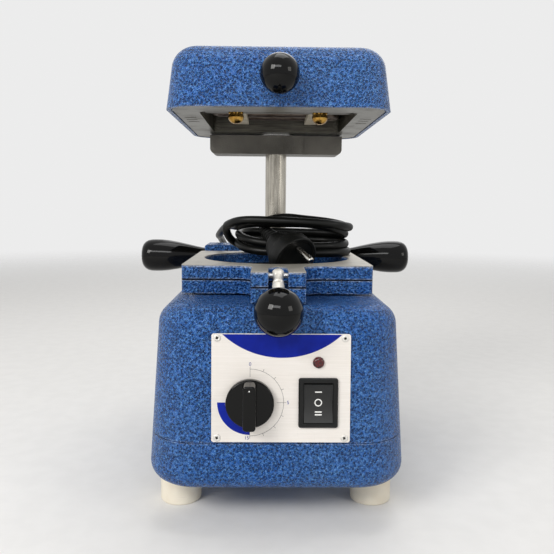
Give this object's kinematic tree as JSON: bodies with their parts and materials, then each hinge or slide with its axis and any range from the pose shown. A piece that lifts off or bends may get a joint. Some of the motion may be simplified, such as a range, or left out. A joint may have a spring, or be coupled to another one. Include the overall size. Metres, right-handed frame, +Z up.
{
  "type": "dental vacuum former",
  "caption": "Bench vacuum former: housing with timer and switch, clamping sheet frame sliding on a rear post under a swinging heater head.",
  "frame": {"origin": "on the floor, under the middle of the machine without its mains lead", "axes": "+X to the operator's right, +Y towards the rear post, +Z up"},
  "size_m": [0.2584, 0.3623, 0.3225],
  "materials": {
    "hammered_blue": "blue hammered enamel on cast aluminium",
    "feet_cream": "cream moulded feet",
    "zinc_steel": "zinc plated steel",
    "post_steel": "ground steel bar",
    "grey_casting": "grey cast aluminium",
    "grey_sheet": "grey folded steel sheet",
    "seal_rubber": "soft black seal",
    "black_moulding": "black moulded plastic",
    "black_gloss": "polished black phenolic",
    "motor_steel": "pressed motor casing",
    "panel_white": "white printed panel with blue fields",
    "lamp_red": "dark red lens",
    "latch_chrome": "satin chrome",
    "bush_bronze": "bronze and brass",
    "element_steel": "heat stained tube",
    "ceramic_white": "unglazed ceramic",
    "cord_black": "black flexible cord",
    "pin_nickel": "nickel plated pins"
  },
  "bodies": {
    "root": {"housing": "hammered_blue", "base_pan": "hammered_blue", "feet": "feet_cream", "foot_screws": "zinc_steel", "vacuum_table": "grey_casting", "table_screws": "zinc_steel", "table_gasket": "seal_rubber", "plenum": "black_moulding", "vacuum_motor": "motor_steel", "motor_plate": "zinc_steel", "terminal_block": "black_moulding", "control_panel": "panel_white", "panel_screws": "zinc_steel", "timer_body": "black_moulding", "lamp_lens": "lamp_red", "lamp_body": "black_moulding", "switch_body": "black_moulding", "exhaust_grille": "black_moulding", "fuse_holder": "black_moulding", "strain_relief": "cord_black", "post": "post_steel", "post_flange": "zinc_steel", "post_nut": "zinc_steel", "rest_washer": "black_moulding", "head_bracket": "grey_casting", "thrust_washer": "zinc_steel", "post_retainer": "zinc_steel", "lead_lower": "cord_black"},
    "carriage": {"lower_frame": "hammered_blue", "strike_pin": "zinc_steel", "crosshead": "hammered_blue", "crosshead_bush": "bush_bronze", "hinge_pin": "zinc_steel", "handles": "black_gloss", "handle_studs": "zinc_steel", "lead_upper": "cord_black"},
    "upper_frame": {"upper_frame": "hammered_blue", "latch_pin": "zinc_steel", "cord_coil": "cord_black", "plug": "cord_black", "plug_pins": "pin_nickel"},
    "latch": {"latch_lever": "latch_chrome", "latch_ball": "black_gloss"},
    "head": {"heater_shell": "hammered_blue", "head_knob_stud": "zinc_steel", "head_knob": "black_gloss", "head_hub": "grey_casting", "heater_liner": "grey_sheet", "heater_tray": "grey_sheet", "heating_element": "element_steel", "element_insulators": "ceramic_white", "nut_strap": "grey_sheet", "brass_nuts": "bush_bronze"},
    "timer_knob": {"timer_knob": "black_gloss", "timer_shaft": "latch_chrome"},
    "rocker": {"rocker": "black_gloss"}
  },
  "joints": [
    {"name": "frame_slide", "type": "slide", "parent": "root", "child": "carriage", "axis": [0, 0, 1], "range_m": [0, 0.065], "deforming": ["lead_lower"]},
    {"name": "frame_hinge", "type": "hinge", "parent": "carriage", "child": "upper_frame", "pos_m": [0, 0.07791, 0.16575], "axis": [1, 0, 0], "range_deg": [-33, 0], "deforming": ["lead_upper"]},
    {"name": "latch_lever", "type": "hinge", "parent": "upper_frame", "child": "latch", "pos_m": [0, -0.09309, 0.1672], "axis": [-1, 0, 0], "range_deg": [0, 70]},
    {"name": "head_swing", "type": "hinge", "parent": "root", "child": "head", "pos_m": [0, 0.10091, 0.2795], "axis": [0, 0, 1], "range_deg": [-90, 90]},
    {"name": "timer_turn", "type": "hinge", "parent": "root", "child": "timer_knob", "pos_m": [-0.0178, -0.11818, 0.08822], "axis": [0, 0.9976, -0.0698], "range_deg": [0, 270]},
    {"name": "rocker_tilt", "type": "hinge", "parent": "root", "child": "rocker", "pos_m": [0.0259, -0.11788, 0.0883], "axis": [1, 0, 0], "range_deg": [-8, 8]}
  ]
}
